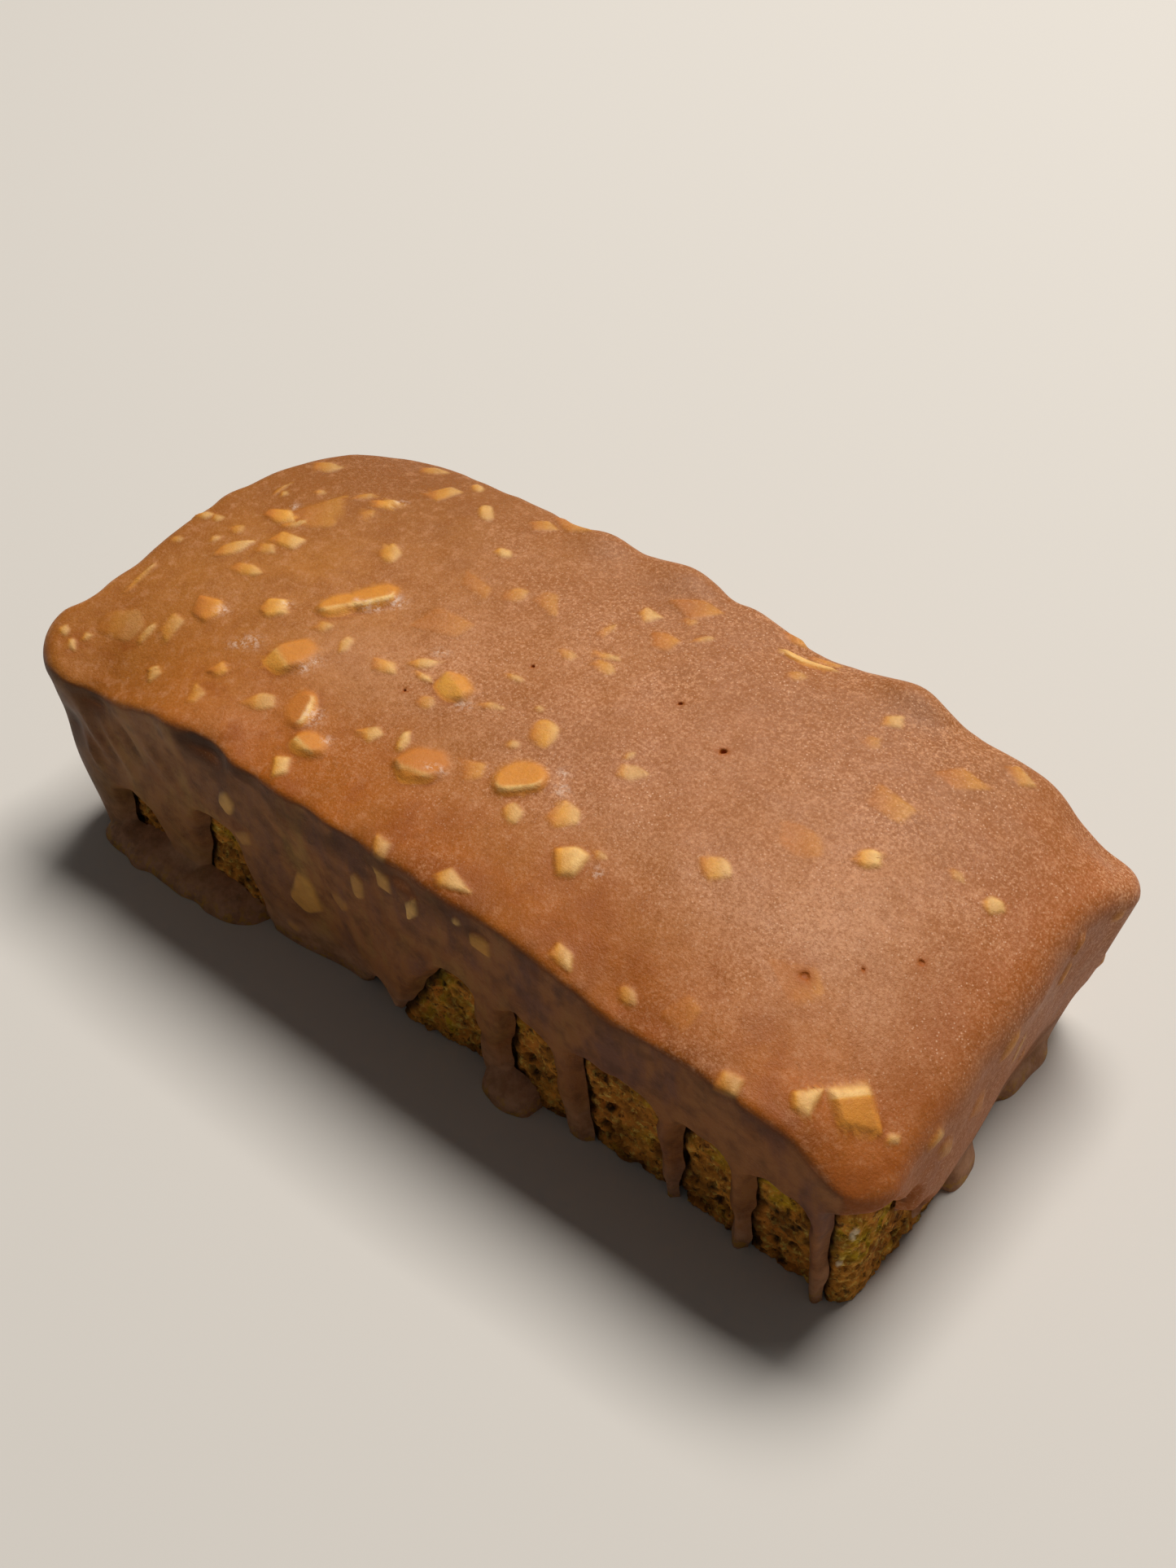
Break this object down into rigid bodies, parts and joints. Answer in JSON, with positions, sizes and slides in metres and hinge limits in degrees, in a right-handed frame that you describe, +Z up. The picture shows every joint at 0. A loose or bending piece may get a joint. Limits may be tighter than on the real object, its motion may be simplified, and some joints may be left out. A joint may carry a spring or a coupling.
{
  "type": "glazed loaf cake",
  "caption": "Whole loaf cake coated in milk chocolate glaze with chopped nuts, the bare crumb showing between the drips low on its sides.",
  "frame": {"origin": "middle of the cake's flat base, on the surface it stands on", "axes": "+X along the loaf, +Y across it towards the higher long side, +Z up"},
  "size_m": [0.1856, 0.0873, 0.0551],
  "materials": {
    "crumb": "matte, porous, dark golden brown",
    "milk_chocolate": "satin"
  },
  "bodies": {
    "root": {"cake": "crumb", "glaze": "milk_chocolate"}
  },
  "joints": []
}
